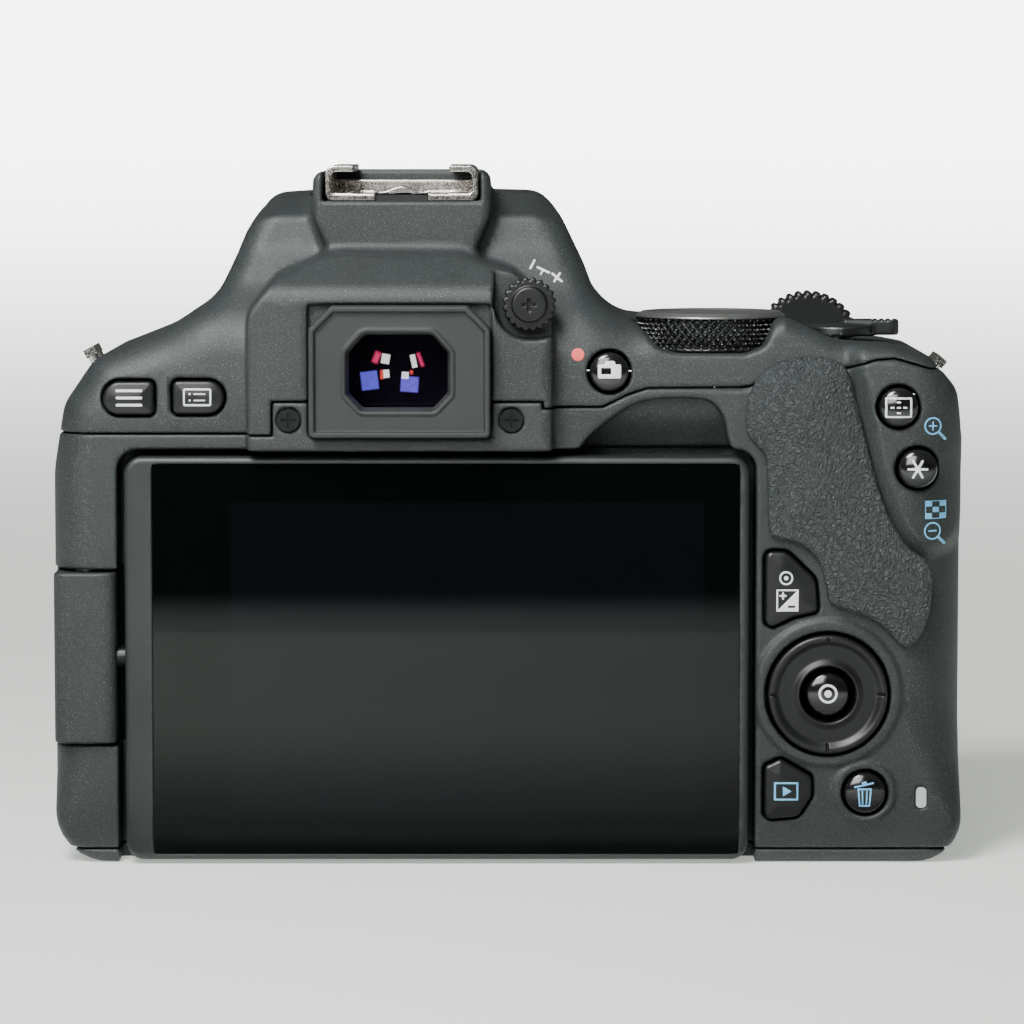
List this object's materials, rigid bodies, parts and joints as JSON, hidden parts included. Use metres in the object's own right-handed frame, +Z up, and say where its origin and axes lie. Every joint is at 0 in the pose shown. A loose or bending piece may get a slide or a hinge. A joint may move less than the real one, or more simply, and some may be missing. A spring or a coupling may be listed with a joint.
{
  "type": "digital camera body",
  "caption": "Single-lens reflex camera body with a side-hinged screen, optical viewfinder, pop-up flash, hot shoe, round lens mount and a right-hand grip.",
  "frame": {"origin": "mouth of the tripod socket, in the middle of the base, under the lens axis", "axes": "+X to the right for someone looking at the back of the camera, +Y forwards along the lens axis, +Z up"},
  "size_m": [0.1224, 0.0708, 0.0926],
  "materials": {
    "body_plastic": "fine grained matt black",
    "key_plastic": "satin black",
    "key_gloss": "polished black",
    "screen_plastic": "satin dark grey",
    "screen_glass": "coated cover glass",
    "display": "unlit display",
    "grip_rubber": "leather-grained rubber",
    "rubber": "plain matt rubber",
    "inner_plastic": "flocked matt black",
    "optics": "coated optical glass",
    "flash_lens": "ribbed clear plastic",
    "dial_metal": "knurled, with a bright turned rim",
    "nickel": "bright nickel",
    "steel": "turned",
    "dark_metal": "blackened",
    "gold": "gold plated contacts in black plastic",
    "mirror": "front-silvered",
    "curtain": "matt black blades",
    "sensor": "filter glass over silicon",
    "board": "green solder mask",
    "battery": "moulded case",
    "lamp": "translucent window"
  },
  "bodies": {
    "body": {"rear_cover": "body_plastic", "front_cover": "body_plastic", "top_cover": "body_plastic", "bottom_cover": "body_plastic", "grip_rubber": "grip_rubber", "thumb_rest": "grip_rubber", "eyepiece_frame": "rubber", "eyepiece_lens": "optics", "eyepiece_screws": "dark_metal", "pentamirror": "inner_plastic", "focusing_screen": "inner_plastic", "access_lamp": "lamp", "hot_shoe_rails": "nickel", "hot_shoe_base": "inner_plastic", "lens_mount_ring": "steel", "mount_screws": "steel", "mount_contacts": "gold", "mirror_box": "inner_plastic", "shutter_unit": "inner_plastic", "image_sensor": "sensor", "main_board": "board", "battery": "battery", "tripod_socket": "steel", "strap_lugs": "nickel", "base_screws": "dark_metal"},
    "screen_arm": {"hinge_block": "body_plastic", "swing_hinge_pins": "steel", "tilt_hinge_shaft": "steel"},
    "screen": {"screen_housing": "screen_plastic", "screen_glass": "screen_glass", "lcd_panel": "display"},
    "mode_dial": {"mode_dial": "dial_metal"},
    "main_dial": {"main_dial": "key_plastic"},
    "power_lever": {"power_lever": "key_plastic"},
    "shutter_button": {"shutter_button": "key_gloss"},
    "iso_button": {"iso_button": "key_plastic"},
    "disp_button": {"disp_button": "key_plastic"},
    "menu_button": {"menu_button": "key_plastic"},
    "info_button": {"info_button": "key_plastic"},
    "live_view_button": {"live_view_button": "key_gloss"},
    "af_point_button": {"af_point_button": "key_gloss"},
    "ae_lock_button": {"ae_lock_button": "key_gloss"},
    "exposure_button": {"exposure_button": "key_plastic"},
    "cross_keys": {"cross_keys": "key_plastic"},
    "set_button": {"set_button": "key_gloss"},
    "playback_button": {"playback_button": "key_plastic"},
    "erase_button": {"erase_button": "key_gloss"},
    "diopter_knob": {"diopter_knob": "key_plastic"},
    "flash": {"flash_head": "body_plastic", "flash_window": "flash_lens"},
    "flash_button": {"flash_button": "key_plastic"},
    "lens_release": {"lens_release_button": "key_plastic"},
    "lens_lock": {"lens_lock_pin": "steel"},
    "main_mirror": {"main_mirror": "mirror"},
    "sub_mirror": {"sub_mirror": "mirror"},
    "first_curtain": {"first_curtain": "curtain"},
    "second_curtain": {"second_curtain": "curtain"},
    "battery_door": {"battery_door": "body_plastic"},
    "left_terminal_cover": {"left_terminal_cover": "rubber"},
    "right_terminal_cover": {"right_terminal_cover": "rubber"}
  },
  "joints": [
    {"name": "screen_swing", "type": "hinge", "parent": "body", "child": "screen_arm", "pos_m": [-0.0423, -0.024, 0.0278], "axis": [0, 0, -1], "range_deg": [0, 175]},
    {"name": "screen_tilt", "type": "hinge", "parent": "screen_arm", "child": "screen", "pos_m": [-0.037, -0.025, 0.0278], "axis": [-1, 0, 0], "range_deg": [0, 30]},
    {"name": "mode_dial_turn", "type": "hinge", "parent": "body", "child": "mode_dial", "pos_m": [0.042, -0.0134, 0.07], "axis": [0, 0, 1], "continuous": true},
    {"name": "main_dial_turn", "type": "hinge", "parent": "body", "child": "main_dial", "pos_m": [0.057, 0.014, 0.0682], "axis": [0, 1, 0], "continuous": true},
    {"name": "power_lever_turn", "type": "hinge", "parent": "body", "child": "power_lever", "pos_m": [0.0598, -0.009, 0.072], "axis": [0, 0, 1], "range_deg": [0, 50]},
    {"name": "shutter_press", "type": "slide", "parent": "body", "child": "shutter_button", "axis": [0, -0.3173, -0.9483], "range_m": [0, 0.0012], "stiffness_N_per_m": 600},
    {"name": "iso_press", "type": "slide", "parent": "body", "child": "iso_button", "axis": [0, 0, -1], "range_m": [0, 0.0005], "stiffness_N_per_m": 600},
    {"name": "disp_press", "type": "slide", "parent": "body", "child": "disp_button", "axis": [0, 0, -1], "range_m": [0, 0.0005], "stiffness_N_per_m": 600},
    {"name": "menu_press", "type": "slide", "parent": "body", "child": "menu_button", "axis": [0, 1, 0], "range_m": [0, 0.0005], "stiffness_N_per_m": 600},
    {"name": "info_press", "type": "slide", "parent": "body", "child": "info_button", "axis": [0, 1, 0], "range_m": [0, 0.0005], "stiffness_N_per_m": 600},
    {"name": "live_view_press", "type": "slide", "parent": "body", "child": "live_view_button", "axis": [0, 1, 0], "range_m": [0, 0.0005], "stiffness_N_per_m": 600},
    {"name": "af_point_press", "type": "slide", "parent": "body", "child": "af_point_button", "axis": [0, 1, 0], "range_m": [0, 0.0006], "stiffness_N_per_m": 600},
    {"name": "ae_lock_press", "type": "slide", "parent": "body", "child": "ae_lock_button", "axis": [0, 1, 0], "range_m": [0, 0.0006], "stiffness_N_per_m": 600},
    {"name": "exposure_press", "type": "slide", "parent": "body", "child": "exposure_button", "axis": [0, 1, 0], "range_m": [0, 0.0005], "stiffness_N_per_m": 600},
    {"name": "cross_keys_rock", "type": "hinge", "parent": "body", "child": "cross_keys", "pos_m": [0.0573, -0.024, 0.023], "axis": [1, 0, 0], "range_deg": [-3, 3], "stiffness_Nm_per_rad": 0.05},
    {"name": "set_press", "type": "slide", "parent": "body", "child": "set_button", "axis": [0, 1, 0], "range_m": [0, 0.0005], "stiffness_N_per_m": 600},
    {"name": "playback_press", "type": "slide", "parent": "body", "child": "playback_button", "axis": [0, 1, 0], "range_m": [0, 0.0005], "stiffness_N_per_m": 600},
    {"name": "erase_press", "type": "slide", "parent": "body", "child": "erase_button", "axis": [0, 1, 0], "range_m": [0, 0.0005], "stiffness_N_per_m": 600},
    {"name": "diopter_turn", "type": "hinge", "parent": "body", "child": "diopter_knob", "pos_m": [0.0172, -0.028, 0.0754], "axis": [0, 1, 0], "range_deg": [-150, 150]},
    {"name": "flash_popup", "type": "hinge", "parent": "body", "child": "flash", "pos_m": [0, -0.003, 0.0875], "axis": [1, 0, 0], "range_deg": [0, 70]},
    {"name": "flash_button_press", "type": "slide", "parent": "body", "child": "flash_button", "axis": [0, -1, 0], "range_m": [0, 0.0006], "stiffness_N_per_m": 600},
    {"name": "lens_release_press", "type": "slide", "parent": "body", "child": "lens_release", "axis": [0, -1, 0], "range_m": [0, 0.002], "stiffness_N_per_m": 600},
    {"name": "lens_lock_slide", "type": "slide", "parent": "body", "child": "lens_lock", "axis": [0, -1, 0], "range_m": [0, 0.002]},
    {"name": "main_mirror_flip", "type": "hinge", "parent": "body", "child": "main_mirror", "pos_m": [0, 0, 0.0478], "axis": [1, 0, 0], "range_deg": [0, 45]},
    {"name": "sub_mirror_fold", "type": "hinge", "parent": "main_mirror", "child": "sub_mirror", "pos_m": [0, 0.00757, 0.03839], "axis": [1, 0, 0], "range_deg": [0, 90]},
    {"name": "first_curtain_drop", "type": "slide", "parent": "body", "child": "first_curtain", "axis": [0, 0, -1], "range_m": [0, 0.0166]},
    {"name": "second_curtain_drop", "type": "slide", "parent": "body", "child": "second_curtain", "axis": [0, 0, -1], "range_m": [0, 0.0166]},
    {"name": "battery_door_swing", "type": "hinge", "parent": "body", "child": "battery_door", "pos_m": [0.0708, 0.0095, 0.00135], "axis": [0, -1, 0], "range_deg": [0, 95]},
    {"name": "left_terminal_cover_swing", "type": "hinge", "parent": "body", "child": "left_terminal_cover", "pos_m": [-0.046, 0.0096, 0.038], "axis": [0, 0, -1], "range_deg": [0, 100]},
    {"name": "right_terminal_cover_swing", "type": "hinge", "parent": "body", "child": "right_terminal_cover", "pos_m": [0.0748, 0.0096, 0.0218], "axis": [0, 0, 1], "range_deg": [0, 100]}
  ],
  "couplings": [
    {"joint": "screen_tilt", "follows": "screen_swing", "ratio": 0.17133},
    {"joint": "sub_mirror_fold", "follows": "main_mirror_flip", "ratio": 2},
    {"joint": "lens_lock_slide", "follows": "lens_release_press", "ratio": 1}
  ]
}
